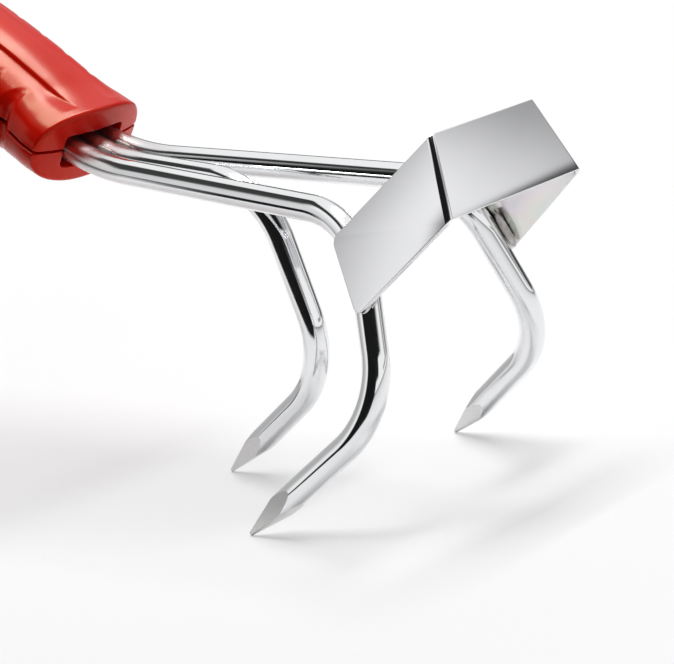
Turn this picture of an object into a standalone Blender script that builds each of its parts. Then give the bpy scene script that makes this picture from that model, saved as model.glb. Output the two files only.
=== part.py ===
"""Garden hand cultivator: three bent bar tines, a folded hoe blade and a two-shell handle.

Metres, +X forward, +Y left, +Z up. The tool stands on its three points, on the plane z = 0,
with the middle of its length above the origin. Lefts and rights are those of the person
who holds the handle.
"""
import math

import bmesh
import bpy
from mathutils import Matrix, Vector

# Clearance between pieces that touch on the real tool
GAP = 0.0003

# Round bar of the tines
BAR_RADIUS = 0.0035
BAR_BEVEL_RESOLUTION = 6
BEND_STEPS = 7

# Corners of the bars' centre lines, before their bends are rounded
MOUTH_BEND_X = -0.0048
MOUTH_BEND_Z = 0.0877
SHOULDER_REACH = 0.0989
SHOULDER_HALF_SPREAD = 0.0210
SHOULDER_Z = 0.0767
KNEE_REACH = 0.1105
KNEE_HALF_SPREAD = 0.0363
KNEE_Z = 0.0313
TIP_REACH = 0.0697
TIP_HALF_SPREAD = 0.0449
MIDDLE_SHOULDER_REACH = 0.0517
MIDDLE_SHOULDER_Z = 0.0804
MIDDLE_KNEE_REACH = 0.0658
MIDDLE_KNEE_Z = 0.0301
MIDDLE_TIP_REACH = 0.0257

# Bend radii of the centre lines
MOUTH_BEND_RADIUS = 0.0630
SHOULDER_RADIUS = 0.0242
KNEE_RADIUS = 0.0234

# Four-sided ground points
POINT_LENGTH = 0.0185
POINT_BLUNT = 0.0004

# Folded strip that makes the hoe blade
BLADE_THICKNESS = 0.0015
BLADE_HEIGHT = 0.0204
BLADE_SIDE_LENGTH = 0.0394
BLADE_CLIMB = math.radians(25.5)
BLADE_FOLD_LEAN = math.radians(20.0)
BLADE_END_LEAN = math.radians(12.9)
BLADE_END_SETBACK = 0.0063
BLADE_TOP_DROP = 0.0025
BLADE_FOLD_RADIUS = 0.0018
BLADE_CORNER_RADIUS = 0.0022

# Weld beads
BLADE_BEAD_RADIUS = 0.0012
BLADE_BEAD_START = 0.0130
BLADE_BEAD_LENGTH = 0.0105
TACK_BEAD_RADIUS = 0.0010
TACK_BEAD_START = 0.0034
TACK_BEAD_LENGTH = 0.0075
TAIL_BEAD_RADIUS = 0.0010

# Handle: its axes start at the middle of the mouth, x forward and z square to the axis
HANDLE_PITCH = math.radians(31.16)
MOUTH_TO_BEND = 0.0078
BAR_DROP = 0.0021
PARTING_Z = -0.0011
HANDLE_LENGTH = 0.1363
HANDLE_WALL = 0.0030
FRONT_WALL = 0.0035
FRONT_BULGE = 0.0030
BULGE_RUN = 0.0150
FACE_SHARES = (0.4, 0.7)
MOUTH_TOP = 0.0027
MOUTH_BOTTOM = 0.0066
MOUTH_CORNER_RADIUS = 0.0015
RING_POINTS = 40

# Handle sections: share of the length, half width, top, bottom and how square the top is
SECTIONS = (
    (0.000, 0.0208, 0.0112, 0.0113, 2.32),
    (0.050, 0.0206, 0.0112, 0.0117, 2.32),
    (0.090, 0.0197, 0.0116, 0.0120, 2.31),
    (0.135, 0.0190, 0.0126, 0.0122, 2.30),
    (0.245, 0.0188, 0.0147, 0.0127, 2.30),
    (0.400, 0.0188, 0.0160, 0.0132, 2.3),
    (0.600, 0.0182, 0.0157, 0.0134, 2.3),
    (0.780, 0.0170, 0.0115, 0.0105, 2.3),
    (1.000, 0.0160, 0.0064, 0.0060, 2.4),
)
BOTTOM_SQUARENESS = 2.4
FRONT_EDGE_RADIUS = 0.0012
REAR_ROUND = 0.0140

# Finger scallops along both sides
SCALLOP_FIRST = 0.0200
SCALLOP_PITCH = 0.0096
SCALLOP_COUNT = 9
SCALLOP_RADIUS = 0.0056
SCALLOP_DEPTH = 0.0011
SCALLOP_NARROWING = 0.0062
SCALLOP_WALL = 0.0017

# Grooves that frame the top panel
GROOVE_HALF_SPREAD = 0.0068
GROOVE_REAR_HALF_SPREAD = 0.0100
GROOVE_RADIUS = 0.0005
GROOVE_START = 0.0045
GROOVE_END_TO_REAR = 0.0350
GROOVE_END = HANDLE_LENGTH - GROOVE_END_TO_REAR

# Bars held inside the handle
TAIL_LENGTH = 0.0613
TIE_PLATE_LENGTH = 0.0140
TIE_PLATE_HALF_WIDTH = 0.0105
TIE_PLATE_THICKNESS = 0.0025
TIE_PLATE_SETBACK = 0.0433
RIB_THICKNESS = 0.0022
RIB_SETBACKS = (0.0133, 0.0265, 0.0350)

# Screws that hold the shells together, driven from below
SCREW_SHANK_RADIUS = 0.0012
SCREW_HEAD_RADIUS = 0.0022
SCREW_HEAD_HEIGHT = 0.0013
SCREW_BITE = 0.0060
SCREW_STEPS = 16
POST_WALL = 0.0008
SEAT_DEPTH = 0.0058
FRONT_SCREW_SETBACK = 0.0098
REAR_SCREW_TO_REAR = 0.0450
REAR_SCREW_SETBACK = HANDLE_LENGTH - REAR_SCREW_TO_REAR

# Slot to hang the tool by
HANG_SLOT_WIDTH = 0.0090
HANG_SLOT_LENGTH = 0.0180
HANG_SLOT_TO_REAR = 0.0185
HANG_SLOT_SETBACK = HANDLE_LENGTH - HANG_SLOT_TO_REAR
HANG_SLEEVE_WALL = 0.0026

CYLINDER_SIDES = 24
CUT_MARGIN = 0.0400
SMOOTH_ANGLE = math.radians(32.0)


def clear_scene():
    """Remove whatever the file holds."""
    for item in list(bpy.data.objects):
        bpy.data.objects.remove(item, do_unlink=True)


def new_collection(name):
    """Add a collection to the scene."""
    collection = bpy.data.collections.new(name)
    bpy.context.scene.collection.children.link(collection)
    return collection


def new_material(name, colour, roughness, metallic):
    """Plain shader with one colour."""
    material = bpy.data.materials.new(name)
    material.use_nodes = True
    shader = material.node_tree.nodes["Principled BSDF"]
    shader.inputs["Base Color"].default_value = (*colour, 1.0)
    shader.inputs["Roughness"].default_value = roughness
    shader.inputs["Metallic"].default_value = metallic
    return material


def place(item, collection, material=None, parent=None):
    """Link an object, and give it its material and parent."""
    collection.objects.link(item)
    item.parent = parent
    if material:
        item.data.materials.append(material)
    return item


def hide_cutter(item):
    """Show a cutter as a wire, and only in the viewport."""
    item.hide_render = True
    item.display_type = "WIRE"
    return item


def shade(mesh):
    """Smooth the round faces and keep the edges crisp."""
    mesh.shade_smooth()
    mesh.set_sharp_from_angle(angle=SMOOTH_ANGLE)


def object_from(name, shape):
    """Object with the faces of a bmesh."""
    bmesh.ops.recalc_face_normals(shape, faces=shape.faces)
    mesh = bpy.data.meshes.new(name)
    shape.to_mesh(mesh)
    shape.free()
    shade(mesh)
    return bpy.data.objects.new(name, mesh)


def box_object(name, low, high):
    """Box between two corners."""
    low, high = Vector(low), Vector(high)
    size = high - low
    shape = bmesh.new()
    fit = Matrix.Translation((low + high) / 2) @ Matrix.Diagonal((*size, 1.0))
    bmesh.ops.create_cube(shape, size=1.0, matrix=fit)
    return object_from(name, shape)


def cylinder_object(name, radius, x, y, low, high):
    """Upright cylinder through a point of the handle's plan."""
    shape = bmesh.new()
    fit = Matrix.Translation((x, y, (low + high) / 2))
    bmesh.ops.create_cone(shape, cap_ends=True, segments=CYLINDER_SIDES,
                          radius1=radius, radius2=radius, depth=high - low, matrix=fit)
    return object_from(name, shape)


def slot_object(name, width, length, setback, low, high):
    """Upright solid with round ends, long along the handle."""
    shape = bmesh.new()
    turn = Matrix.Rotation(math.pi / CYLINDER_SIDES, 4, "Z")
    bmesh.ops.create_cone(shape, cap_ends=True, segments=CYLINDER_SIDES,
                          radius1=width / 2, radius2=width / 2, depth=high - low, matrix=turn)
    for vert in shape.verts:
        vert.co.x += math.copysign((length - width) / 2, vert.co.x)
    bmesh.ops.translate(shape, verts=shape.verts, vec=(-setback, 0.0, (low + high) / 2))
    return object_from(name, shape)


def turned_object(name, profile, sides):
    """Solid turned about z from a profile that runs from its top to its foot."""
    shape = bmesh.new()
    verts = [shape.verts.new((radius, 0.0, height)) for radius, height in profile]
    for first, second in zip(verts, verts[1:]):
        shape.edges.new((first, second))
    mesh = bpy.data.meshes.new(name)
    shape.to_mesh(mesh)
    shape.free()
    solid = bpy.data.objects.new(name, mesh)
    turn = solid.modifiers.new("turn", "SCREW")
    turn.steps = sides
    turn.render_steps = sides
    turn.use_merge_vertices = True
    turn.merge_threshold = 0.00001
    turn.use_smooth_shade = True
    return solid


def loft_object(name, rings):
    """Closed body through rings with equal numbers of points, with a fan on each end."""
    shape = bmesh.new()
    loops = [[shape.verts.new(point) for point in ring] for ring in rings]
    count = len(rings[0])
    for first, second in zip(loops, loops[1:]):
        for k in range(count):
            after = (k + 1) % count
            shape.faces.new((first[k], first[after], second[after], second[k]))
    for loop, ring in ((loops[0], rings[0]), (loops[-1], rings[-1])):
        forward = max(point.x for point in ring) if loop is loops[0] else ring[0].x
        middle = sum(ring, Vector()) / count
        hub = shape.verts.new((forward, 0.0, middle.z))
        for k in range(count):
            shape.faces.new((loop[k], loop[(k + 1) % count], hub))
    return object_from(name, shape)


def boolean(item, other, operation="DIFFERENCE"):
    """Cut one object by another, or join the other to it."""
    modifier = item.modifiers.new(other.name, "BOOLEAN")
    modifier.object = other
    modifier.operation = operation
    modifier.solver = "EXACT"


def tube_object(name, points, radius, resolution, tapers=None):
    """Round bar along points, as a closed mesh."""
    curve = bpy.data.curves.new(name, "CURVE")
    curve.dimensions = "3D"
    curve.bevel_depth = radius
    curve.bevel_resolution = resolution
    curve.use_fill_caps = True
    spline = curve.splines.new("POLY")
    spline.points.add(len(points) - 1)
    for k, point in enumerate(points):
        spline.points[k].co = (*point, 1.0)
        spline.points[k].radius = tapers[k] if tapers else 1.0
    rod = bpy.data.objects.new(name + "_line", curve)
    bpy.context.scene.collection.objects.link(rod)
    graph = bpy.context.evaluated_depsgraph_get()
    mesh = bpy.data.meshes.new_from_object(rod.evaluated_get(graph))
    turn = rod.matrix_world.copy()
    bpy.data.objects.remove(rod)
    shape = bmesh.new()
    shape.from_mesh(mesh)
    bpy.data.meshes.remove(mesh)
    bmesh.ops.remove_doubles(shape, verts=shape.verts, dist=radius / 1000)
    solid = object_from(name, shape)
    solid.matrix_world = turn
    return solid


def rounded_path(corners, radii):
    """Points of a bent bar's centre line, with an arc at each inner corner."""
    points = [corners[0]]
    for before, corner, after, radius in zip(corners, corners[1:], corners[2:], radii):
        back = (before - corner).normalized()
        ahead = (after - corner).normalized()
        half = back.angle(ahead) / 2
        centre = corner + (back + ahead).normalized() * radius / math.sin(half)
        start = corner + back * radius / math.tan(half) - centre
        finish = corner + ahead * radius / math.tan(half) - centre
        axis = start.cross(finish).normalized()
        sweep = start.angle(finish)
        for k in range(BEND_STEPS + 1):
            points.append(centre + Matrix.Rotation(sweep * k / BEND_STEPS, 3, axis) @ start)
    points.append(corners[-1])
    return points


def along(points, distance):
    """Point at a distance along a centre line, and the direction there."""
    for first, second in zip(points, points[1:]):
        step = (second - first).length
        if distance <= step:
            break
        distance -= step
    direction = (second - first).normalized()
    return first + direction * distance, direction


def handle_frame():
    """Place of the handle's own axes."""
    turn = Matrix.Rotation(HANDLE_PITCH, 4, "Y")
    bend = Vector((MOUTH_BEND_X, 0.0, MOUTH_BEND_Z))
    mouth = bend - turn @ Vector((MOUTH_TO_BEND, 0.0, -BAR_DROP))
    return Matrix.Translation(mouth) @ turn


def point_axes(shoulder, knee, tip):
    """Directions of a tine's point: along it, across its bend, and towards the inside of the bend."""
    run = (tip - knee).normalized()
    across = run.cross(shoulder - knee).normalized()
    return run, across, across.cross(run).normalized()


def tip_height(shoulder, knee, tip):
    """Height of a point's centre when a corner of its blunt end touches the floor."""
    _, across, inner = point_axes(shoulder, knee, tip)
    return POINT_BLUNT * (abs(across.z) + abs(inner.z))


def bar_pitch():
    """Distance between neighbouring bars in the mouth."""
    return 2 * BAR_RADIUS + GAP


def tine_path(side):
    """Centre line of a tine from its tail: side is 1 for left, -1 for right, 0 for middle."""
    tail = handle_frame() @ Vector((-TAIL_LENGTH, side * bar_pitch(), -BAR_DROP))
    mouth = Vector((MOUTH_BEND_X, side * bar_pitch(), MOUTH_BEND_Z))
    if side:
        shoulder = Vector((SHOULDER_REACH, side * SHOULDER_HALF_SPREAD, SHOULDER_Z))
        knee = Vector((KNEE_REACH, side * KNEE_HALF_SPREAD, KNEE_Z))
        tip = Vector((TIP_REACH, side * TIP_HALF_SPREAD, 0.0))
    else:
        shoulder = Vector((MIDDLE_SHOULDER_REACH, 0.0, MIDDLE_SHOULDER_Z))
        knee = Vector((MIDDLE_KNEE_REACH, 0.0, MIDDLE_KNEE_Z))
        tip = Vector((MIDDLE_TIP_REACH, 0.0, 0.0))
    tip.z = tip_height(shoulder, knee, tip)
    offset = Vector((MOUTH_BEND_X, 0.0, 0.0))
    corners = [tail, mouth, shoulder + offset, knee + offset, tip + offset]
    return corners, rounded_path(corners, (MOUTH_BEND_RADIUS, SHOULDER_RADIUS, KNEE_RADIUS))


def point_cutter(name, tip, along_axis, outward):
    """Box whose face is one ground flat of a tine's point."""
    angle = math.atan2(BAR_RADIUS - POINT_BLUNT, POINT_LENGTH)
    back = -along_axis
    flat = (back * math.cos(angle) + outward * math.sin(angle)).normalized()
    normal = (outward * math.cos(angle) - back * math.sin(angle)).normalized()
    across = flat.cross(normal)
    reach = 2 * POINT_LENGTH
    cutter = box_object(name, (-BAR_RADIUS, -2 * BAR_RADIUS, 0.0),
                        (reach, 2 * BAR_RADIUS, 3 * BAR_RADIUS))
    turn = Matrix((flat, -across, normal)).transposed().to_4x4()
    cutter.matrix_world = Matrix.Translation(tip + outward * POINT_BLUNT) @ turn
    return cutter


def make_tine(name, side, steel, parts, cutters):
    """Bent bar with a four-sided ground point."""
    corners, points = tine_path(side)
    tine = place(tube_object(name, points, BAR_RADIUS, BAR_BEVEL_RESOLUTION), parts, steel)
    tip = corners[-1]
    run, across, inner = point_axes(*corners[2:])
    for k, outward in enumerate((across, -across, inner, -inner)):
        cutter = point_cutter(f"{name}_flat_{k}", tip, run, outward)
        hide_cutter(place(cutter, cutters))
        boolean(tine, cutter)
    return tine


def blade_axes():
    """Shoulder corner of the left tine, and the left side panel's down, forward and out."""
    corners, _ = tine_path(1)
    shoulder = corners[2]
    down = (corners[3] - corners[2]).normalized()
    forward = Vector((-down.z, 0.0, down.x)).normalized()
    outward = (forward.cross(-down)).normalized()
    if outward.y < 0:
        outward = -outward
    return shoulder, down, forward, outward


def blade_corners():
    """Outer corners of the left side panel: end top, fold top, fold foot, end foot."""
    shoulder, down, forward, outward = blade_axes()
    face = shoulder + outward * (BAR_RADIUS + GAP + BLADE_THICKNESS)
    strip = forward * math.cos(BLADE_CLIMB) - down * math.sin(BLADE_CLIMB)
    square = forward * math.sin(BLADE_CLIMB) + down * math.cos(BLADE_CLIMB)
    top = face + square * BLADE_TOP_DROP
    end_top = top - strip * BLADE_END_SETBACK
    fold_top = end_top + strip * BLADE_SIDE_LENGTH
    foot = square * BLADE_HEIGHT
    fold_foot = fold_top + foot - strip * BLADE_HEIGHT * math.tan(BLADE_FOLD_LEAN)
    end_foot = end_top + foot - strip * BLADE_HEIGHT * math.tan(BLADE_END_LEAN)
    return end_top, fold_top, fold_foot, end_foot


def make_blade(steel, parts):
    """Strip folded twice into a stirrup, its ends outside the outer tines."""
    end_top, fold_top, fold_foot, end_foot = blade_corners()
    mirror = Vector((1.0, -1.0, 1.0))
    tops = [end_top, fold_top, fold_top * mirror, end_top * mirror]
    feet = [end_foot, fold_foot, fold_foot * mirror, end_foot * mirror]
    shape = bmesh.new()
    upper = [shape.verts.new(point) for point in tops]
    lower = [shape.verts.new(point) for point in feet]
    for k in range(3):
        shape.faces.new((upper[k], upper[k + 1], lower[k + 1], lower[k]))
    folds = [shape.edges.get((upper[k], lower[k])) for k in (1, 2)]
    bmesh.ops.bevel(shape, geom=folds, offset=BLADE_FOLD_RADIUS, segments=5, profile=0.5,
                    affect="EDGES", clamp_overlap=True)
    ends = [v for v in shape.verts if min((v.co - p).length for p in
            (end_top, end_foot, end_top * mirror, end_foot * mirror)) < GAP]
    bmesh.ops.bevel(shape, geom=ends, offset=BLADE_CORNER_RADIUS, segments=3, profile=0.5,
                    affect="VERTICES", clamp_overlap=True)
    mesh = bpy.data.meshes.new("hoe_blade")
    shape.to_mesh(mesh)
    shape.free()
    blade = place(bpy.data.objects.new("hoe_blade", mesh), parts, steel)
    sheet = blade.modifiers.new("sheet", "SOLIDIFY")
    sheet.thickness = BLADE_THICKNESS
    sheet.offset = -1.0
    sheet.use_even_offset = True
    return blade


def make_blade_weld(name, side, steel, parts):
    """Bead in the corner between an outer tine and the inside of the blade."""
    shoulder, down, forward, outward = blade_axes()
    sit = BAR_RADIUS + GAP + BLADE_BEAD_RADIUS
    out = BAR_RADIUS - BLADE_BEAD_RADIUS
    ahead = math.sqrt(sit * sit - out * out)
    start = shoulder + outward * out + forward * ahead + down * BLADE_BEAD_START
    shares = (0.0, 0.15, 0.5, 0.85, 1.0)
    points = [start + down * BLADE_BEAD_LENGTH * share for share in shares]
    if side < 0:
        points = [point * Vector((1.0, -1.0, 1.0)) for point in points]
    bead = tube_object(name, points, BLADE_BEAD_RADIUS, 2, (0.4, 0.9, 1.0, 0.9, 0.4))
    return place(bead, parts, steel)


def make_tack_weld(name, side, steel, parts):
    """Bead in the valley between the middle bar and its neighbour, just out of the mouth."""
    _, middle = tine_path(0)
    _, outer = tine_path(side)
    sit = BAR_RADIUS + GAP + TACK_BEAD_RADIUS
    points = []
    for share in (0.0, 0.2, 0.5, 0.8, 1.0):
        distance = TAIL_LENGTH + TACK_BEAD_START + TACK_BEAD_LENGTH * share
        first, direction = along(middle, distance)
        second, _ = along(outer, distance)
        half = (second - first).length / 2
        up = Vector((-direction.z, 0.0, direction.x)).normalized()
        points.append((first + second) / 2 + up * math.sqrt(sit * sit - half * half))
    bead = tube_object(name, points, TACK_BEAD_RADIUS, 2, (0.4, 0.9, 1.0, 0.9, 0.4))
    return place(bead, parts, steel)


def blend(share, column):
    """Value of one column of the handle's sections at a share of its length."""
    rows = SECTIONS
    for k in range(len(rows) - 2):
        if share < rows[k + 1][0]:
            break
    else:
        k = len(rows) - 2
    low, high = rows[k], rows[k + 1]
    before, after = rows[max(k - 1, 0)], rows[min(k + 2, len(rows) - 1)]
    span = high[0] - low[0]
    t = (share - low[0]) / span
    leave = (high[column] - before[column]) / (high[0] - before[0]) * span
    reach = (after[column] - low[column]) / (after[0] - low[0]) * span
    rise = high[column] - low[column]
    bend = t * t * (3 - 2 * t)
    return low[column] + rise * bend + t * (1 - t) * ((1 - t) * leave - t * reach)


def end_factor(setback):
    """Share of the section left where the rear end is rounded."""
    into = setback - (HANDLE_LENGTH - REAR_ROUND)
    if into <= 0:
        return 1.0
    return math.sqrt(max(1 - (into / REAR_ROUND) ** 2, 0.0))


def scallop_reach(setback, half_width):
    """Half width that the nearest finger scallop leaves at the parting."""
    number = round((setback - SCALLOP_FIRST) / SCALLOP_PITCH)
    number = min(max(number, 0), SCALLOP_COUNT - 1)
    away = setback - SCALLOP_FIRST - number * SCALLOP_PITCH
    if abs(away) >= SCALLOP_RADIUS:
        return half_width + SCALLOP_RADIUS
    dip = SCALLOP_RADIUS - math.sqrt(SCALLOP_RADIUS ** 2 - away ** 2)
    return half_width - SCALLOP_DEPTH + dip


def half_sizes(setback, inset):
    """Half width, top, bottom and squareness of the handle at a setback."""
    share = min(setback / HANDLE_LENGTH, 1.0)
    shrink = end_factor(setback)
    edge = 0.0
    if setback < FRONT_EDGE_RADIUS:
        edge = FRONT_EDGE_RADIUS - math.sqrt(FRONT_EDGE_RADIUS ** 2 - (FRONT_EDGE_RADIUS - setback) ** 2)
    wide, top, bottom = (blend(share, column) * shrink - inset - edge for column in (1, 2, 3))
    return wide, top, bottom, blend(share, 4)


def ring(setback, inset=0.0, scalloped=True):
    """One section of the handle, as points in its own axes."""
    wide, top, bottom, squareness = half_sizes(setback, inset)
    reach = scallop_reach(setback, wide) if scalloped else wide + inset - SCALLOP_DEPTH - SCALLOP_WALL
    bulge = FRONT_BULGE * max(1 - setback / BULGE_RUN, 0.0)
    points = []
    for k in range(RING_POINTS):
        angle = 2 * math.pi * (k + 0.5) / RING_POINTS
        c, s = math.cos(angle), math.sin(angle)
        power = 2 / (squareness if s > 0 else BOTTOM_SQUARENESS)
        y = math.copysign(abs(c) ** power, c) * wide
        z = math.copysign(abs(s) ** power, s) * (top if s > 0 else bottom)
        limit = reach - SCALLOP_NARROWING * abs(s) ** power
        y = math.copysign(min(abs(y), max(limit, 0.0)), y) if reach < wide else y
        x = -setback - bulge * (y / wide) ** 2
        points.append(Vector((x, y, z + PARTING_Z)))
    return points


def surface_height(setback, y):
    """Height of the handle's top above its axis at a place in plan."""
    wide, top, _, squareness = half_sizes(setback, 0.0)
    return PARTING_Z + top * (1 - (abs(y) / wide) ** squareness) ** (1 / squareness)


def body_setbacks():
    """Setbacks of the outer rings, from the front face to the rear end."""
    front = [0.0, 0.3 * FRONT_EDGE_RADIUS, FRONT_EDGE_RADIUS, 0.3 * SCALLOP_FIRST, 0.55 * SCALLOP_FIRST]
    quarter = SCALLOP_PITCH / 4
    first = SCALLOP_FIRST - SCALLOP_PITCH / 2
    grip = [first + quarter * k for k in range(4 * SCALLOP_COUNT + 1)]
    start = HANDLE_LENGTH - REAR_ROUND
    last = grip[-1]
    plain = [last + (start - last) * share for share in (0.4, 0.8)]
    rear = [start + REAR_ROUND * math.sin(math.radians(a)) for a in (10, 30, 48, 62, 74, 83)]
    return front + grip + plain + rear


def front_ring(share):
    """Ring within the front face, on the bulge that its edge follows."""
    edge = ring(0.0)
    height = sum(point.z for point in edge) / len(edge)
    return [Vector((point.x * share ** 2, point.y * share, height + (point.z - height) * share))
            for point in edge]


def make_body(name):
    """Whole outside of the handle as one closed solid."""
    face = [front_ring(share) for share in FACE_SHARES]
    return loft_object(name, face + [ring(setback) for setback in body_setbacks()])


def cavity_setbacks():
    """Setbacks of the cavity's rings."""
    last = HANDLE_LENGTH - REAR_ROUND
    count = 12
    return [FRONT_WALL + (last - FRONT_WALL) * k / count for k in range(count + 1)]


def screw_places():
    """Plan places of the screws in the handle's axes."""
    beside = bar_pitch() + BAR_RADIUS + 2 * GAP + post_radius()
    return ((-FRONT_SCREW_SETBACK, beside), (-FRONT_SCREW_SETBACK, -beside), (-REAR_SCREW_SETBACK, 0.0))


def post_radius():
    """Outer radius of the slim posts round the screws."""
    return SCREW_SHANK_RADIUS + GAP + POST_WALL


def seat_z():
    """Height of the face that the screw heads pull against."""
    return PARTING_Z - SEAT_DEPTH


def post_object(name, x, y):
    """Slim post round a screw, wider below the face that its head pulls against."""
    slim = post_radius()
    wide = SCREW_HEAD_RADIUS + GAP + POST_WALL
    step = seat_z() + POST_WALL
    profile = ((0.0, CUT_MARGIN), (slim, CUT_MARGIN), (slim, step), (wide, step),
               (wide, -CUT_MARGIN), (0.0, -CUT_MARGIN))
    post = turned_object(name, profile, SCREW_STEPS)
    post.location = (x, y, 0.0)
    return post


def make_cavity(name, upper, axes, cutters):
    """Hollow of one shell, less its ribs, posts and hanging sleeve."""
    rings = [ring(setback, HANDLE_WALL, False) for setback in cavity_setbacks()]
    cavity = hide_cutter(place(loft_object(name, rings), cutters, parent=axes))
    bar_top = BAR_RADIUS + GAP - BAR_DROP
    bar_foot = -BAR_RADIUS - GAP - BAR_DROP
    keep = []
    for k, setback in enumerate(RIB_SETBACKS):
        low, high = (bar_top, CUT_MARGIN) if upper else (-CUT_MARGIN, bar_foot)
        keep.append(box_object(f"{name}_rib_{k}", (-setback - RIB_THICKNESS, -CUT_MARGIN, low),
                               (-setback, CUT_MARGIN, high)))
    plate_foot = bar_foot - TIE_PLATE_THICKNESS - GAP
    if not upper:
        middle = -TIE_PLATE_SETBACK - TIE_PLATE_LENGTH / 2
        keep.append(box_object(f"{name}_plate_rib", (middle - RIB_THICKNESS, -CUT_MARGIN, -CUT_MARGIN),
                               (middle + RIB_THICKNESS, CUT_MARGIN, plate_foot)))
    for k, (x, y) in enumerate(screw_places()):
        keep.append(post_object(f"{name}_post_{k}", x, y))
    extra = 2 * HANG_SLEEVE_WALL
    keep.append(slot_object(f"{name}_sleeve", HANG_SLOT_WIDTH + extra, HANG_SLOT_LENGTH + extra,
                            HANG_SLOT_SETBACK, -CUT_MARGIN, CUT_MARGIN))
    for solid in keep:
        hide_cutter(place(solid, cutters, parent=axes))
        boolean(cavity, solid)
    return cavity


def make_mouth(name, axes, cutters):
    """Rounded opening that the bars come out of."""
    wide = bar_pitch() + BAR_RADIUS + GAP
    cutter = box_object(name, (-2 * FRONT_WALL, -wide, -MOUTH_BOTTOM), (2 * FRONT_WALL, wide, MOUTH_TOP))
    corners = cutter.modifiers.new("corners", "BEVEL")
    corners.width = MOUTH_CORNER_RADIUS
    corners.segments = 3
    corners.limit_method = "ANGLE"
    return hide_cutter(place(cutter, cutters, parent=axes))


def make_groove(name, side, axes, cutters):
    """Round cutter that follows the handle's top beside its panel."""
    count = 14
    points = []
    for k in range(count + 1):
        setback = GROOVE_START + (GROOVE_END - GROOVE_START) * k / count
        spread = GROOVE_HALF_SPREAD + (GROOVE_REAR_HALF_SPREAD - GROOVE_HALF_SPREAD) * k / count
        y = side * spread
        points.append(Vector((-setback, y, surface_height(setback, y))))
    tapers = [0.5] + [1.0] * (count - 1) + [0.5]
    cutter = tube_object(name, points, GROOVE_RADIUS, 1, tapers)
    return hide_cutter(place(cutter, cutters, parent=axes))


def make_shell(name, upper, plastic, axes, parts, cutters):
    """Half of the handle, hollow, with its ribs, posts and openings."""
    shell = place(make_body(name), parts, plastic, axes)
    boolean(shell, make_cavity(f"{name}_cavity", upper, axes, cutters))
    margin = 3 * HANDLE_LENGTH
    low, high = (-margin, PARTING_Z + GAP / 2) if upper else (PARTING_Z - GAP / 2, margin)
    other_half = box_object(f"{name}_other_half", (-margin, -margin, low), (margin, margin, high))
    cuts = [other_half, slot_object(f"{name}_hang_slot", HANG_SLOT_WIDTH, HANG_SLOT_LENGTH,
                                    HANG_SLOT_SETBACK, -CUT_MARGIN, CUT_MARGIN)]
    for k, (x, y) in enumerate(screw_places()):
        bore = SCREW_SHANK_RADIUS + GAP
        top = PARTING_Z + SCREW_BITE + GAP
        cuts.append(cylinder_object(f"{name}_bore_{k}", bore, x, y, seat_z() - GAP, top))
        if not upper:
            cuts.append(cylinder_object(f"{name}_recess_{k}", SCREW_HEAD_RADIUS + GAP, x, y,
                                        -CUT_MARGIN, seat_z()))
    for cutter in cuts:
        hide_cutter(place(cutter, cutters, parent=axes))
        boolean(shell, cutter)
    boolean(shell, make_mouth(f"{name}_mouth", axes, cutters))
    if upper:
        for side in (1, -1):
            boolean(shell, make_groove(f"{name}_groove_{side}", side, axes, cutters))
    return shell


def make_screw(name, x, y, steel, axes, parts):
    """Pan-head screw turned from a profile, driven upwards."""
    top = SCREW_BITE + SEAT_DEPTH
    taper = SCREW_SHANK_RADIUS
    profile = ((0.0, top), (SCREW_SHANK_RADIUS / 2, top - taper / 2), (SCREW_SHANK_RADIUS, top - taper),
               (SCREW_SHANK_RADIUS, -GAP), (SCREW_HEAD_RADIUS, -GAP),
               (SCREW_HEAD_RADIUS, -GAP - SCREW_HEAD_HEIGHT / 2),
               (SCREW_HEAD_RADIUS * 0.8, -GAP - SCREW_HEAD_HEIGHT), (0.0, -GAP - SCREW_HEAD_HEIGHT))
    screw = place(turned_object(name, profile, SCREW_STEPS), parts, steel, axes)
    screw.location = (x, y, seat_z())
    return screw


def make_tie_plate(steel, axes, parts):
    """Plate under the bars' tails that ties them together."""
    top = -BAR_DROP - BAR_RADIUS - GAP
    low = (-TIE_PLATE_SETBACK - TIE_PLATE_LENGTH, -TIE_PLATE_HALF_WIDTH, top - TIE_PLATE_THICKNESS)
    high = (-TIE_PLATE_SETBACK, TIE_PLATE_HALF_WIDTH, top)
    plate = place(box_object("tie_plate", low, high), parts, steel, axes)
    edges = plate.modifiers.new("edges", "BEVEL")
    edges.width = TIE_PLATE_THICKNESS / 6
    edges.segments = 1
    return plate


def make_tail_weld(name, front, steel, axes, parts):
    """Bead along an edge of the tie plate, under the three bars."""
    away = TAIL_BEAD_RADIUS + GAP
    edge = -TIE_PLATE_SETBACK if front else -TIE_PLATE_SETBACK - TIE_PLATE_LENGTH
    x = edge + away if front else edge - away
    z = -BAR_DROP - BAR_RADIUS - away
    wide = TIE_PLATE_HALF_WIDTH - TAIL_BEAD_RADIUS
    points = [Vector((x, wide * share, z)) for share in (-1.0, -0.85, 0.0, 0.85, 1.0)]
    bead = tube_object(name, points, TAIL_BEAD_RADIUS, 2, (0.4, 0.9, 1.0, 0.9, 0.4))
    return place(bead, parts, steel, axes)


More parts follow.
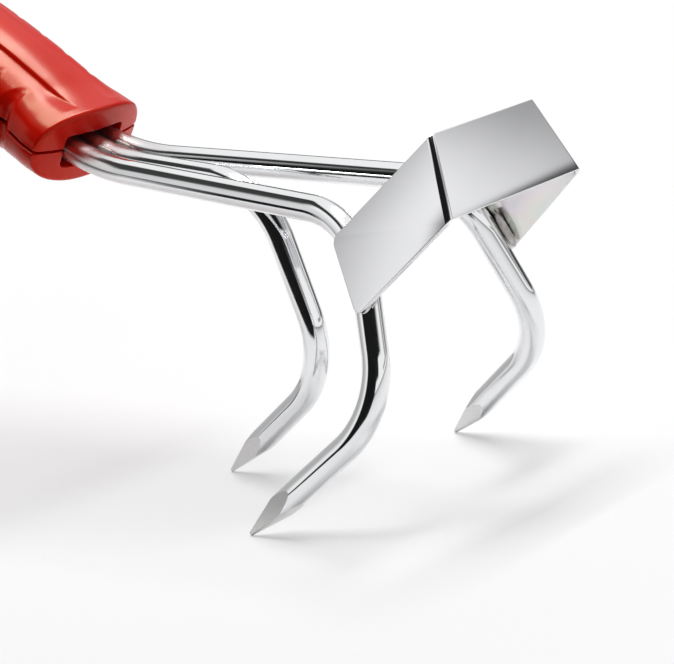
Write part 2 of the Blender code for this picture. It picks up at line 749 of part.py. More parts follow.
def main():
    """Build the tool."""
    clear_scene()
    parts = new_collection("garden_cultivator")
    cutters = new_collection("cutters")
    chrome = new_material("chromed_bar", (0.78, 0.79, 0.80), 0.12, 1.0)
    sheet = new_material("chromed_sheet", (0.72, 0.73, 0.74), 0.18, 1.0)
    bead = new_material("weld_bead", (0.45, 0.45, 0.44), 0.45, 1.0)
    plastic = new_material("red_plastic", (0.62, 0.045, 0.02), 0.28, 0.0)
    zinc = new_material("zinc_steel", (0.55, 0.55, 0.52), 0.35, 1.0)

    axes = bpy.data.objects.new("handle_axes", None)
    axes.matrix_world = handle_frame()
    parts.objects.link(axes)

    make_tine("tine_left", 1, chrome, parts, cutters)
    make_tine("tine_middle", 0, chrome, parts, cutters)
    make_tine("tine_right", -1, chrome, parts, cutters)
    make_blade(sheet, parts)
    make_blade_weld("blade_weld_left", 1, bead, parts)
    make_blade_weld("blade_weld_right", -1, bead, parts)
    make_tack_weld("tack_weld_left", 1, bead, parts)
    make_tack_weld("tack_weld_right", -1, bead, parts)
    make_tie_plate(zinc, axes, parts)
    make_tail_weld("tail_weld_front", True, bead, axes, parts)
    make_tail_weld("tail_weld_rear", False, bead, axes, parts)
    make_shell("upper_shell", True, plastic, axes, parts, cutters)
    make_shell("lower_shell", False, plastic, axes, parts, cutters)
    names = ("screw_front_left", "screw_front_right", "screw_rear")
    for name, (x, y) in zip(names, screw_places()):
        make_screw(name, x, y, zinc, axes, parts)


if __name__ == "__main__":
    main()
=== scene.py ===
"""Finish and light the garden cultivator.

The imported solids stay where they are, and finer pieces stand for them.
"""
import math

import bmesh
import bpy
from bpy.props import FloatProperty, FloatVectorProperty, IntProperty, PointerProperty
from mathutils import Matrix, Vector


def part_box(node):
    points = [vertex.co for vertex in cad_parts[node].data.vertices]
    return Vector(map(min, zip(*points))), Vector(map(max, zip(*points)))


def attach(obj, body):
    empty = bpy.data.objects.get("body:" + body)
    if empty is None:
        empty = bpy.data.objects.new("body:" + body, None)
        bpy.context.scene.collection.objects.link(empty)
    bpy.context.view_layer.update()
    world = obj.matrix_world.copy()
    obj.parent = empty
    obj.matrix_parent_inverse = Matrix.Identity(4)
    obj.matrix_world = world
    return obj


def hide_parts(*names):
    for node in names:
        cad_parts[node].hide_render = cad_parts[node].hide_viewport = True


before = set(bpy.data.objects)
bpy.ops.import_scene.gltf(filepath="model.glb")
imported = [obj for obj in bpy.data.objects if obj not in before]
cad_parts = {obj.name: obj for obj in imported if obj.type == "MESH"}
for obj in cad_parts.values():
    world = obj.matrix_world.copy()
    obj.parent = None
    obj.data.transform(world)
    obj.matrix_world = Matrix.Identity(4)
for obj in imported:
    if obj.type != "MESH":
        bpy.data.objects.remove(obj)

bl_info = {
    "name": "Garden cultivator",
    "version": (1, 0, 0),
    "blender": (4, 5, 0),
    "location": "View3D > Sidebar > Cultivator",
    "description": "Builds the finished pieces, the finishes and the studio of a garden hand cultivator",
    "category": "Object",
}

MIRROR = Vector((1.0, -1.0, 1.0))

# Bend of the bars ahead of the handle's mouth and its distance from it, the handle's pitch, how far the
# bars lie below its axis, and the height of its parting from that axis
MOUTH_BEND = (-0.0048, 0.0, 0.0877)
MOUTH_TO_BEND = 0.0078
HANDLE_PITCH = math.radians(31.16)
BAR_DROP = 0.0021
PARTING = -0.0011

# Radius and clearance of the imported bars
PACKED_BAR_RADIUS = 0.0035
CLEARANCE = 0.0003

# Shoulder, knee and tip of the left bar and of the middle bar, with x from the bend at the mouth
OUTER_REACH = ((0.0989, 0.0210, 0.0767), (0.1105, 0.0363, 0.0313), (0.0697, 0.0449, 0.0))
MIDDLE_REACH = ((0.0517, 0.0, 0.0804), (0.0658, 0.0, 0.0301), (0.0257, 0.0, 0.0))

# Blade: drop of its upper edge, setback of its ends and rounding of its corners
BLADE_TOP_DROP = 0.0025
BLADE_END_SETBACK = 0.0063
BLADE_CORNER = 0.0022

# Reach of the grinding in point lengths, and what it takes off the very tip
GRIND_REACH = 1.15
TIP_CUT = 0.00002

# Beads: radii, and the place and length of those on the blade
BLADE_BEAD = 0.0011
BLADE_BEAD_GAP = 0.0001
BLADE_BEAD_START = 0.0130
BLADE_BEAD_LENGTH = 0.0105
TACK_BEAD = 0.0008
TAIL_BEAD = 0.00095


def metres(name, description, default):
    """Property that holds a length."""
    return FloatProperty(name=name, description=description, default=default, unit="LENGTH")


class BarSettings(bpy.types.PropertyGroup):
    """Sizes of the bent round bars."""
    radius: metres("Bar radius", "Radius of the round bar", 0.00349)
    sides: IntProperty(name="Sides", description="Faces round the bar", default=72)
    steps: IntProperty(name="Bend steps", description="Rings in each bend", default=30)
    spacing: metres("Spacing", "Distance between the bars in the mouth", 0.0073)
    mouth_radius: metres("Mouth bend", "Bend radius at the handle's mouth", 0.0630)
    shoulder_radius: metres("Shoulder bend", "Bend radius at the shoulders", 0.0242)
    knee_radius: metres("Knee bend", "Bend radius above the points", 0.0234)
    tail: metres("Tail", "Length of bar inside the handle", 0.0613)
    point_length: metres("Point length", "Length of the ground point", 0.0185)
    point_blunt: metres("Blunt end", "Half width of the point's blunt end", 0.0004)


class BladeSettings(bpy.types.PropertyGroup):
    """Sizes of the folded strip."""
    thickness: metres("Thickness", "Thickness of the sheet", 0.0015)
    height: metres("Height", "Width of the strip", 0.0204)
    side: metres("Side length", "Length of each side panel", 0.0394)
    climb: FloatProperty(name="Climb", description="Slope of the side panels", default=math.radians(25.5),
                         subtype="ANGLE")
    fold_lean: FloatProperty(name="Fold lean", description="Lean of the folds", default=math.radians(20.0),
                             subtype="ANGLE")
    end_lean: FloatProperty(name="End lean", description="Lean of the strip's cut ends",
                            default=math.radians(12.9), subtype="ANGLE")
    fold_radius: metres("Fold radius", "Outer radius of the folds", 0.0015)
    edge: metres("Edge", "Rounding of the cut edges", 0.00022)


class HandleSettings(bpy.types.PropertyGroup):
    """Sizes of the handle."""
    length: metres("Length", "Length of the handle", 0.1361)
    wall: metres("Wall", "Thickness of the shells", 0.0030)
    edge: metres("Front edge", "Rounding of the front edge", 0.0012)
    scallop_depth: metres("Scallop depth", "Depth of the finger scallops", 0.0025)
    step_height: metres("Panel height", "Height of the step round the top panel", 0.0010)
    step_width: metres("Step width", "Width of the step round the top panel", 0.0008)
    gap: metres("Parting gap", "Gap between the shells", 0.0009)
    lip: metres("Parting lip", "Rounding of the shells' edges along the parting", 0.00045)
    colour: FloatVectorProperty(name="Plastic", description="Colour of the plastic", subtype="COLOR",
                                default=(0.64, 0.006, 0.0015))


class MetalSettings(bpy.types.PropertyGroup):
    """Colours of the metals."""
    chrome: FloatVectorProperty(name="Chrome", description="Colour of the chromed bars", subtype="COLOR",
                                default=(0.86, 0.87, 0.88))
    sheet: FloatVectorProperty(name="Blade", description="Colour of the chromed sheet", subtype="COLOR",
                               default=(0.84, 0.842, 0.86))
    zinc: FloatVectorProperty(name="Zinc", description="Colour of the zinc plated steel", subtype="COLOR",
                              default=(0.55, 0.55, 0.52))


class StageSettings(bpy.types.PropertyGroup):
    """Floor and light."""
    lamp_power: FloatProperty(name="Overhead lamp", description="Power of the soft overhead lamp",
                              default=12.8, subtype="POWER")
    world: FloatProperty(name="Surroundings", description="Brightness of the studio walls", default=0.98)
    fill: FloatProperty(name="Fill", description="Share of the walls' light that reaches matt surfaces",
                        default=0.40, subtype="FACTOR")
    dark: FloatProperty(name="Dark cloth", description="Brightness of the dark cloth beside the camera",
                        default=0.012)
    floor: FloatVectorProperty(name="Floor", description="Colour of the floor", subtype="COLOR",
                               default=(0.93, 0.93, 0.935))


class Socket:
    """A node's output that can be used in sums."""

    def __init__(self, shop, out):
        self.shop = shop
        self.out = out

    def math(self, operation, *others, flip=False):
        """Result of a Math node."""
        values = [self, *others]
        if flip:
            values.reverse()
        return self.shop.node("ShaderNodeMath", {"operation": operation}, dict(enumerate(values)))

    def __add__(self, other):
        return self.math("ADD", other)

    def __radd__(self, other):
        return self.math("ADD", other)

    def __sub__(self, other):
        return self.math("SUBTRACT", other)

    def __rsub__(self, other):
        return self.math("SUBTRACT", other, flip=True)

    def __mul__(self, other):
        return self.math("MULTIPLY", other)

    def __rmul__(self, other):
        return self.math("MULTIPLY", other)

    def smooth(self, low, high):
        """0 below low, 1 above high, and smooth between."""
        return self.shop.node("ShaderNodeMapRange", {"interpolation_type": "SMOOTHSTEP"},
                              {0: self, 1: low, 2: high, 3: 0.0, 4: 1.0})

    def part(self, name):
        """Another output of the same node."""
        return Socket(self.shop, self.out.node.outputs[name])


class Shop:
    """Makes the nodes of one material or world."""

    def __init__(self, tree):
        self.tree = tree
        tree.nodes.clear()

    def node(self, kind, settings=None, values=None, out=0):
        """Add a node, set it up, and fill or link its sockets."""
        made = self.tree.nodes.new(kind)
        for name, value in (settings or {}).items():
            if name == "stops":
                while len(made.color_ramp.elements) < len(value):
                    made.color_ramp.elements.new(1.0)
                for stop, (place, colour) in zip(made.color_ramp.elements, value):
                    stop.position = place
                    stop.color = (*colour, 1.0)
            else:
                setattr(made, name, value)
        for name, value in (values or {}).items():
            if isinstance(value, Socket):
                self.tree.links.new(value.out, made.inputs[name])
            elif value is not None:
                made.inputs[name].default_value = value
        return Socket(self, made.outputs[out])

    def noise(self, place, scale, detail):
        """Fractal noise, about 0.5."""
        return self.node("ShaderNodeTexNoise", {"noise_dimensions": "3D"},
                         {"Vector": place, "Scale": scale, "Detail": detail, "Roughness": 0.5})

    def split(self, place):
        """X of a place. Its Y and Z are parts of the same node."""
        return self.node("ShaderNodeSeparateXYZ", {}, {"Vector": place}, out="X")

    def mix(self, factor, first, second):
        """Mix of two colours."""
        return self.node("ShaderNodeMix", {"data_type": "RGBA"}, {0: factor, 6: first, 7: second}, out=2)

    def stretch(self, place, scale, turn=(0.0, 0.0, 0.0)):
        """Place turned and scaled along its axes."""
        return self.node("ShaderNodeMapping", {"vector_type": "POINT"},
                         {"Vector": place, "Rotation": turn, "Scale": scale})

    def bump(self, height, strength, distance, before=None):
        """Normal bent by a height."""
        return self.node("ShaderNodeBump", {}, {
            "Strength": strength, "Distance": distance, "Height": height, "Normal": before})


def rgba(colour, share=1.0):
    """Colour with full alpha, darkened to a share."""
    return (*(c * share for c in colour), 1.0)


def new_finish(name):
    """Material with an empty node tree, its maker of nodes and its object coordinates."""
    material = bpy.data.materials.new(name)
    material.use_nodes = True
    shop = Shop(material.node_tree)
    place = shop.node("ShaderNodeTexCoord", out="Object")
    return material, shop, place


def end_finish(shop, shader):
    """Connect the shader to the output."""
    output = shop.tree.nodes.new("ShaderNodeOutputMaterial")
    shop.tree.links.new(shader.out, output.inputs["Surface"])


def end_metal(shop, tone, rough, normal):
    """Connect the shader of a bare metal to the output."""
    end_finish(shop, shop.node("ShaderNodeBsdfPrincipled", {}, {
        "Base Color": tone, "Metallic": 1.0, "Roughness": rough, "Normal": normal}))


def chrome_finish(name, colour, waviness, scratches):
    """Bright chrome plate over drawn steel, with faint waves, hairlines and specks."""
    material, shop, place = new_finish(name)
    cloud = shop.noise(place, 55.0, 3.0)
    waves = shop.noise(place, 160.0, 1.0)
    fine = shop.noise(shop.stretch(place, (1.0, 6.0, 1.0)), 900.0, 2.0)
    specks = shop.noise(place, 2600.0, 1.0).smooth(0.70, 0.80)
    ground = shop.node("ShaderNodeAttribute", {"attribute_type": "GEOMETRY", "attribute_name": "ground"},
                       out="Fac")
    streaks = shop.noise(shop.stretch(place, (0.5, 1.0, 0.7), (0.0, 0.6, 0.0)), 1400.0, 2.0)
    split = shop.split(place)
    # Mask of painted shade on the bars by the handle's mouth, which also makes the chrome rougher there
    mouth_shade_and_dull = 1 - (split + cloud * 0.012).smooth(-0.004, 0.022)
    tone = shop.mix(cloud.smooth(0.3, 0.7), rgba(colour, 0.97), rgba(colour))
    tone = shop.mix(specks * 0.25, tone, rgba(colour, 0.55))
    # Painted shade: the chrome darkens towards brown by the handle's mouth
    tone = shop.mix(mouth_shade_and_dull * 0.75, tone, (0.50, 0.45, 0.44, 1.0))
    tone = shop.mix(ground * (0.36 + streaks * 0.3), tone, (0.46, 0.45, 0.43, 1.0))
    rough = 0.045 + cloud * 0.03 + specks * 0.12 + fine.smooth(0.45, 0.75) * scratches
    rough = rough + mouth_shade_and_dull * (0.16 + cloud * 0.14) + ground * (0.08 + streaks * 0.10)
    normal = shop.bump(waves, waviness, 0.0002)
    normal = shop.bump(fine, scratches, 0.00002, normal)
    normal = shop.bump(streaks * ground, 0.08, 0.00004, normal)
    end_metal(shop, tone, rough, normal)
    return material


def blade_finish(name, colour):
    """Chromed sheet: near mirror, with rolling marks and a faint heat tint by the welds."""
    material, shop, place = new_finish(name)
    split = shop.split(place)
    sideways = split.part("Y").math("ABSOLUTE")
    cloud = shop.noise(place, 40.0, 2.0)
    rolled = shop.noise(shop.stretch(place, (1.0, 14.0, 1.0)), 240.0, 2.0)
    hue = shop.noise(place, 95.0, 1.0)
    spot = shop.node("ShaderNodeCombineXYZ", {}, {"X": split, "Y": sideways, "Z": split.part("Z")})
    away = shop.node("ShaderNodeVectorMath", {"operation": "DISTANCE"},
                     {0: spot, 1: (0.1045, 0.0290, 0.0620)}, out="Value")
    facing_in = shop.split(place.part("Normal")).part("Y")
    inside = (facing_in * split.part("Y").math("SIGN") * -1.0).smooth(0.3, 0.6)
    heat = inside * (1 - away.smooth(0.006, 0.034))
    tint = shop.node("ShaderNodeValToRGB", {"stops": (
        (0.30, (0.84, 0.80, 0.86)), (0.45, (0.90, 0.78, 0.80)), (0.55, (0.86, 0.84, 0.72)),
        (0.70, (0.74, 0.85, 0.80)))}, {"Fac": hue})
    tone = shop.mix(cloud.smooth(0.3, 0.7), rgba(colour, 0.975), rgba(colour))
    tone = shop.mix(heat * 0.55, tone, tint)
    rough = 0.07 + cloud * 0.03 + heat * 0.10
    end_metal(shop, tone, rough, shop.bump(rolled, 0.05, 0.00005))
    return material


def weld_finish(name):
    """Plated weld metal, rippled and a little matt, and darker and rougher towards the handle."""
    material, shop, place = new_finish(name)
    lumps = shop.noise(place, 420.0, 2.0)
    pits = shop.noise(place, 2400.0, 1.0)
    split = shop.split(place)
    # Beads are darker, browner and rougher towards the handle
    darker_towards_handle = 1 - split.smooth(0.020, 0.060)
    tone = shop.mix(lumps.smooth(0.35, 0.65), (0.42, 0.40, 0.38, 1.0), (0.62, 0.61, 0.60, 1.0))
    tone = shop.mix(darker_towards_handle * 0.7, tone, (0.24, 0.19, 0.17, 1.0))
    rough = 0.26 + lumps * 0.20 + darker_towards_handle * 0.20
    normal = shop.bump(lumps, 0.18, 0.0002)
    end_metal(shop, tone, rough, shop.bump(pits, 0.06, 0.00006, normal))
    return material


def zinc_finish(name, colour):
    """Zinc plated steel, with a fine spangle."""
    material, shop, place = new_finish(name)
    spangle = shop.noise(place, 900.0, 3.0)
    cloud = shop.noise(place, 120.0, 2.0)
    tone = shop.mix(spangle.smooth(0.35, 0.65), rgba(colour, 0.82), rgba(colour))
    rough = 0.26 + cloud * 0.16
    end_metal(shop, tone, rough, shop.bump(spangle, 0.15, 0.00008))
    return material


def plastic_finish(name, colour):
    """Glossy moulded plastic, with a faint skin texture, flow marks and rubbed places."""
    material, shop, place = new_finish(name)
    flow = shop.noise(shop.stretch(place, (0.4, 1.0, 1.0)), 60.0, 2.0)
    skin = shop.noise(place, 1100.0, 2.0)
    rubbed = shop.noise(place, 26.0, 3.0)
    tone = shop.mix(flow.smooth(0.3, 0.7), rgba(colour, 0.93), rgba(colour))
    rough = 0.15 + rubbed * 0.10 + skin * 0.02
    normal = shop.bump(skin, 0.04, 0.00004)
    shader = shop.node("ShaderNodeBsdfPrincipled", {}, {
        "Base Color": tone, "Roughness": rough, "IOR": 1.46, "Specular IOR Level": 0.29,
        "Specular Tint": (1.0, 0.88, 0.54, 1.0), "Normal": normal})
    end_finish(shop, shader)
    return material


def finish_piece(shape, name, material, slot, *nodes, smooth_angle):
    """Object from a bmesh, with its finish, its body and the nodes that it stands for."""
    piece = loose_object(shape, name)
    piece.data.shade_smooth()
    piece.data.set_sharp_from_angle(angle=smooth_angle)
    piece.data.materials.append(material)
    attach(piece, "root")
    if nodes:
        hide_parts(*nodes)


def baked(piece, cutters=()):
    """Apply an object's modifiers and remove their cutters."""
    graph = bpy.context.evaluated_depsgraph_get()
    mesh = bpy.data.meshes.new_from_object(piece.evaluated_get(graph))
    old = piece.data
    piece.modifiers.clear()
    piece.data = mesh
    bpy.data.meshes.remove(old)
    for cutter in cutters:
        bpy.data.objects.remove(cutter)


def cut(piece, cutters):
    """Cut an object by others, and keep the result as its mesh."""
    for cutter in cutters:
        modifier = piece.modifiers.new(cutter.name, "BOOLEAN")
        modifier.object = cutter
        modifier.operation = "DIFFERENCE"
        modifier.solver = "EXACT"
    baked(piece, cutters)


def loose_object(shape, name):
    """Object in the scene from a bmesh, not yet tied to the frame."""
    mesh = bpy.data.meshes.new(name)
    shape.to_mesh(mesh)
    shape.free()
    item = bpy.data.objects.new(name, mesh)
    bpy.context.scene.collection.objects.link(item)
    return item


def shape_of(item):
    """Take a loose object out of the scene. Gives its mesh as a bmesh."""
    shape = bmesh.new()
    shape.from_mesh(item.data)
    bpy.data.objects.remove(item)
    return shape


def round_off(shape, geom, offset, segments, affect="EDGES"):
    """Bevel edges or corners to a round."""
    bmesh.ops.bevel(shape, geom=geom, offset=offset, offset_type="OFFSET", segments=segments, profile=0.5,
                    affect=affect, clamp_overlap=True, material=-1)


def handle_frame():
    """Place of the handle's own axes: x forward, z square to the handle."""
    turn = Matrix.Rotation(HANDLE_PITCH, 4, "Y")
    mouth = Vector(MOUTH_BEND) - turn @ Vector((MOUTH_TO_BEND, 0.0, -BAR_DROP))
    return Matrix.Translation(mouth) @ turn


def point_axes(corners):
    """Directions of a tine's point: along it, across its bend, and towards the inside of the bend."""
    run = (corners[4] - corners[3]).normalized()
    across = run.cross(corners[2] - corners[3]).normalized()
    return run, across, across.cross(run).normalized()


def tine_corners(side):
    """Corners of a tine's centre line: side is 1 for left, -1 for right, 0 for middle."""
    bars = bpy.context.scene.cultivator_bars
    tail = handle_frame() @ Vector((-bars.tail, side * bars.spacing, -BAR_DROP))
    bend = Vector((MOUTH_BEND[0], 0.0, 0.0))
    start = bend + Vector((0.0, side * bars.spacing, MOUTH_BEND[2]))
    reach = OUTER_REACH if side else MIDDLE_REACH
    corners = [tail, start, *(Vector((x, side * y, z)) + bend for x, y, z in reach)]
    _, across, inner = point_axes(corners)
    corners[4].z = bars.point_blunt * (abs(across.z) + abs(inner.z))
    return corners


def arc_of(before, corner, after, radius):
    """Start, finish, centre, axis and sweep of the arc that rounds a corner."""
    back = (before - corner).normalized()
    ahead = (after - corner).normalized()
    half = back.angle(ahead) / 2
    centre = corner + (back + ahead).normalized() * radius / math.sin(half)
    start = corner + back * radius / math.tan(half)
    finish = corner + ahead * radius / math.tan(half)
    axis = (start - centre).cross(finish - centre).normalized()
    return start, finish, centre, axis, (start - centre).angle(finish - centre)


def facing(direction):
    """Turn that points z along a direction."""
    across = Vector((0.0, 1.0, 0.0))
    z = direction.normalized()
    x = (across - z * across.dot(z)).normalized()
    return Matrix((x, z.cross(x), z)).transposed().to_4x4()


def new_ring(shape, centre, direction, radius, sides, cap=False):
    """Circle across a direction. Gives its edges."""
    made = bmesh.ops.create_circle(shape, cap_ends=cap, segments=sides, radius=radius,
                                   matrix=Matrix.Translation(centre) @ facing(direction))
    return list({edge for vert in made["verts"] for edge in vert.link_edges})


def push_ring(shape, ring, move):
    """Extrude a ring of edges and move the new one."""
    made = bmesh.ops.extrude_edge_only(shape, edges=ring)["geom"]
    verts = [item for item in made if isinstance(item, bmesh.types.BMVert)]
    bmesh.ops.translate(shape, verts=verts, vec=move)
    fresh = set(verts)
    return [item for item in made if isinstance(item, bmesh.types.BMEdge)
            and item.verts[0] in fresh and item.verts[1] in fresh]


def grind(shape, tip, reach, point, normal):
    """Cut away all that lies beyond a plane near the tip, and close the cut with a crisp flat."""
    verts = {vert for vert in shape.verts if (vert.co - tip).length < reach}
    edges = [edge for edge in shape.edges if edge.verts[0] in verts and edge.verts[1] in verts]
    faces = [face for face in shape.faces if all(vert in verts for vert in face.verts)]
    made = bmesh.ops.bisect_plane(shape, geom=[*verts, *edges, *faces], dist=1e-7, plane_co=point,
                                  plane_no=normal, clear_outer=True)["geom_cut"]
    edges = [item for item in made if isinstance(item, bmesh.types.BMEdge)]
    flats = bmesh.ops.contextual_create(shape, geom=edges)["faces"]
    layer = shape.faces.layers.float["ground"]
    for flat in flats:
        flat[layer] = 1.0


class MakeTines(bpy.types.Operator):
    """Bend the three bars and grind their points"""
    bl_idname = "cultivator.tines"
    bl_label = "Tines"

    def execute(self, context):
        bars = context.scene.cultivator_bars
        chrome = chrome_finish("bar chrome", context.scene.cultivator_metals.chrome, 0.05, 0.02)
        for name, side in (("tine_left", 1), ("tine_middle", 0), ("tine_right", -1)):
            self.bend(bars, name, side, chrome)
        return {"FINISHED"}

    def bend(self, bars, name, side, chrome):
        """One tine, from its tail to its point."""
        corners = tine_corners(side)
        shape = bmesh.new()
        here = corners[0]
        ring = new_ring(shape, here, corners[1] - corners[0], bars.radius, bars.sides, cap=True)
        radii = (bars.mouth_radius, bars.shoulder_radius, bars.knee_radius)
        for before, corner, after, radius in zip(corners, corners[1:], corners[2:], radii):
            start, finish, centre, axis, sweep = arc_of(before, corner, after, radius)
            ring = push_ring(shape, ring, start - here)
            made = bmesh.ops.spin(shape, geom=ring, cent=centre, axis=axis, angle=sweep, steps=bars.steps,
                                  use_duplicate=False)["geom_last"]
            ring = [item for item in made if isinstance(item, bmesh.types.BMEdge)]
            here = finish
        run, across, inner = point_axes(corners)
        ground = bars.point_length * GRIND_REACH
        ring = push_ring(shape, ring, corners[4] - run * ground - here)
        push_ring(shape, ring, run * ground)
        angle = math.atan2(bars.radius - bars.point_blunt, bars.point_length)
        shape.faces.layers.float.new("ground")
        bmesh.ops.recalc_face_normals(shape, faces=shape.faces)
        for outward in (across, -across, inner, -inner):
            normal = outward * math.cos(angle) + run * math.sin(angle)
            grind(shape, corners[4], ground * 1.1, corners[4] + outward * bars.point_blunt, normal)
        grind(shape, corners[4], ground * 1.1, corners[4] - run * TIP_CUT, run)
        bmesh.ops.remove_doubles(shape, verts=shape.verts, dist=2e-6)
        bmesh.ops.recalc_face_normals(shape, faces=shape.faces)
        finish_piece(shape, f"{name}_bar", chrome, "chromed_bar", name, smooth_angle=math.radians(6.5))


class MakeBlade(bpy.types.Operator):
    """Fold the strip that makes the hoe blade"""
    bl_idname = "cultivator.blade"
    bl_label = "Hoe blade"

    def execute(self, context):
        blade = context.scene.cultivator_blade
        metal = blade_finish("blade chrome", context.scene.cultivator_metals.sheet)
        end_top, fold_top, fold_foot, end_foot = blade_corners(blade)
        shape = bmesh.new()
        tops = [shape.verts.new(p) for p in (end_top, fold_top, fold_top * MIRROR, end_top * MIRROR)]
        feet = [shape.verts.new(p) for p in (end_foot, fold_foot, fold_foot * MIRROR, end_foot * MIRROR)]
        for k in range(3):
            shape.faces.new((tops[k], tops[k + 1], feet[k + 1], feet[k]))
        folds = [shape.edges.get((tops[k], feet[k])) for k in (1, 2)]
        round_off(shape, folds, blade.fold_radius, 12)
        ends = [v for v in shape.verts if min((v.co - p).length for p in
                (end_top, end_foot, end_top * MIRROR, end_foot * MIRROR)) < 1e-4]
        round_off(shape, ends, BLADE_CORNER, 6, affect="VERTICES")
        sheet = loose_object(shape, "sheet")
        thick = sheet.modifiers.new("thick", "SOLIDIFY")
        thick.thickness = blade.thickness
        thick.offset = -1.0
        thick.use_even_offset = True
        baked(sheet)
        shape = shape_of(sheet)
        rims = [edge for edge in shape.edges
                if edge.is_manifold and edge.calc_face_angle() > math.radians(60)]
        round_off(shape, rims, blade.edge, 3)
        finish_piece(shape, "hoe_blade_sheet", metal, "chromed_sheet", "hoe_blade",
                     smooth_angle=math.radians(35.0))
        return {"FINISHED"}


def blade_axes():
    """Shoulder corner of the left tine, and the left side panel's down, forward and out."""
    corners = tine_corners(1)
    down = (corners[3] - corners[2]).normalized()
    forward = Vector((-down.z, 0.0, down.x)).normalized()
    outward = forward.cross(-down).normalized()
    return corners[2], down, forward, outward if outward.y > 0 else -outward


def blade_corners(blade):
    """Outer corners of the left side panel: end top, fold top, fold foot, end foot."""
    shoulder, down, forward, outward = blade_axes()
    face = shoulder + outward * (PACKED_BAR_RADIUS + CLEARANCE + blade.thickness)
    strip = forward * math.cos(blade.climb) - down * math.sin(blade.climb)
    square = forward * math.sin(blade.climb) + down * math.cos(blade.climb)
    end_top = face + square * BLADE_TOP_DROP - strip * BLADE_END_SETBACK
    fold_top = end_top + strip * blade.side
    foot = square * blade.height
    fold_foot = fold_top + foot - strip * blade.height * math.tan(blade.fold_lean)
    end_foot = end_top + foot - strip * blade.height * math.tan(blade.end_lean)
    return [end_top, fold_top, fold_foot, end_foot]


class MakeWelds(bpy.types.Operator):
    """Lay the weld beads on the blade and between the bars"""
    bl_idname = "cultivator.welds"
    bl_label = "Welds"

    def execute(self, context):
        bars = context.scene.cultivator_bars
        metal = weld_finish("weld metal")
        shoulder, down, forward, outward = blade_axes()
        sit = bars.radius + BLADE_BEAD_GAP + BLADE_BEAD
        out = bars.radius - BLADE_BEAD
        ahead = math.sqrt(sit * sit - out * out)
        start = shoulder + outward * out + forward * ahead + down * BLADE_BEAD_START
        finish = start + down * BLADE_BEAD_LENGTH
        for name, turn in (("blade_weld_left", Vector((1.0, 1.0, 1.0))), ("blade_weld_right", MIRROR)):
            self.lay(name, start * turn, finish * turn, BLADE_BEAD, 6, metal)
        for name, side in (("tack_weld_left", 1), ("tack_weld_right", -1)):
            low, high = (Vector(corner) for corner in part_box(name))
            valley = side * bars.spacing / 2
            start = Vector((low.x + TACK_BEAD, valley, high.z - 1.5 * TACK_BEAD))
            finish = Vector((high.x - TACK_BEAD, valley, low.z + 0.5 * TACK_BEAD))
            self.lay(name, start, finish, TACK_BEAD, 5, metal)
        for name in ("tail_weld_front", "tail_weld_rear"):
            low, high = (Vector(corner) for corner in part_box(name))
            mid = (low + high) / 2
            start, finish = (Vector((mid.x, y, mid.z)) for y in (low.y, high.y))
            self.lay(name, start, finish, TAIL_BEAD, 14, metal)
        return {"FINISHED"}

    def lay(self, name, start, finish, radius, ripples, metal):
        """Rippled bead between two points, which stands for a packed bead."""
        shape = bmesh.new()
        run = finish - start
        count = ripples * 6
        ring = None
        for k in range(count + 1):
            share = k / count
            swell = math.sqrt(max(1 - abs(2 * share - 1) ** 3.0, 0.02))
            ripple = 0.05 * abs(math.sin(math.pi * ripples * share))
            size = radius * swell * (1 - ripple - 0.05 * math.sin(17.0 * share) ** 2)
            centre = start + run * share
            if ring is None:
                ring = new_ring(shape, centre, run, size, 20, cap=True)
            else:
                ring = push_ring(shape, ring, centre - last)
                verts = list({vert for edge in ring for vert in edge.verts})
                bmesh.ops.scale(shape, verts=verts, vec=Vector((1.0, 1.0, 1.0)) * (size / before),
                                space=Matrix.Translation(-centre))
            last, before = centre, size
        bmesh.ops.contextual_create(shape, geom=ring)
        bmesh.ops.recalc_face_normals(shape, faces=shape.faces)
        finish_piece(shape, f"{name}_bead", metal, "weld_bead", name, smooth_angle=math.radians(60.0))


# Handle sections: share of the length, half width, top, bottom and how square the top is
SECTIONS = (
    (0.000, 0.0208, 0.0112, 0.0113, 2.32),
    (0.050, 0.0206, 0.0112, 0.0117, 2.32),
    (0.090, 0.0197, 0.0116, 0.0120, 2.31),
    (0.135, 0.0190, 0.0126, 0.0122, 2.30),
    (0.245, 0.0188, 0.0147, 0.0127, 2.30),
    (0.400, 0.0188, 0.0160, 0.0132, 2.3),
    (0.600, 0.0182, 0.0157, 0.0134, 2.3),
    (0.780, 0.0170, 0.0115, 0.0105, 2.3),
    (1.000, 0.0160, 0.0064, 0.0060, 2.4),
)
BOTTOM_SQUARENESS = 2.4
REAR_ROUND = 0.0140
FRONT_WALL = 0.0035

# How far the front face stands out at its middle, and the setback where its edge is straight again
FRONT_BULGE = 0.0030
BULGE_RUN = 0.0150

# Finger scallops: setback of the first, pitch and number; how fast they narrow upwards, where along its
# length each is deepest, their apex as a share of the crown, and how far they lean back in pitches
SCALLOP_FIRST = 0.0200
SCALLOP_PITCH = 0.0096
SCALLOP_COUNT = 9
SCALLOP_FLARE = 0.55
SCALLOP_DEEPEST = 0.35
SCALLOP_APEX = 0.83
SCALLOP_LEAN = 0.15

# Opening for the bars: its sizes, the rounding of its rim, its depth and how square it is
MOUTH_HALF_WIDTH = 0.0111
MOUTH_TOP = 0.0027
MOUTH_BOTTOM = 0.0066
MOUTH_RIM = 0.0003
MOUTH_DEPTH = 0.0010
MOUTH_POWER = 9

# Step round the top panel: half spread at its front and rear, setbacks, and its run-out in step widths
STEP_SPREAD = 0.0064
STEP_REAR_SPREAD = 0.0096
STEP_START = 0.0035
STEP_END = 0.1013
STEP_RUN_OUT = 9.0

